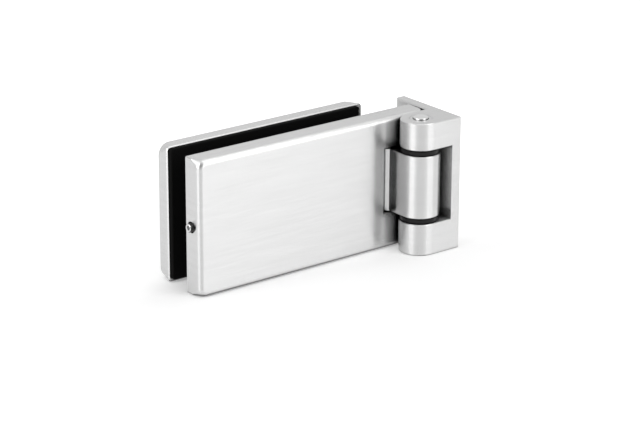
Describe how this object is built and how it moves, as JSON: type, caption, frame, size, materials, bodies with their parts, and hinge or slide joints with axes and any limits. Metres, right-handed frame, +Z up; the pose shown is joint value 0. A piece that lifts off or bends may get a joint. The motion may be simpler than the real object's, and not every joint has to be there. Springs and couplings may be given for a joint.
{
  "type": "glass clamp hinge",
  "caption": "Clamp hinge for a frameless glass door: a covered leaf and a rear plate grip the glass, and a knuckle turns on a pin in a flanged frame bracket.",
  "frame": {"origin": "middle of the flange face that meets the door frame", "axes": "+X out of that face towards the frame, -Y towards the hinge knuckles, +Z up along the pin"},
  "size_m": [0.1271, 0.0486, 0.06],
  "materials": {
    "satin_steel": "brushed satin",
    "bright_steel": "turned, bright",
    "black_gasket": "matt black",
    "black_nylon": "satin black",
    "clear_nylon": "natural"
  },
  "bodies": {
    "frame": {"frame_bracket": "satin_steel", "hinge_pin": "bright_steel", "pin_screw": "bright_steel"},
    "leaf": {"hinge_leaf": "satin_steel", "upper_bush": "black_nylon", "lower_bush": "black_nylon", "front_cover": "satin_steel", "cover_screw": "bright_steel", "front_gasket": "black_gasket", "rear_gasket": "black_gasket", "rear_plate": "satin_steel", "clamp_screws": "bright_steel", "glass_sleeves": "clear_nylon"}
  },
  "joints": [
    {"name": "leaf_swing", "type": "hinge", "parent": "frame", "child": "leaf", "pos_m": [-0.01525, -0.01035, 0], "axis": [0, 0, 1], "range_deg": [0, 180]}
  ]
}
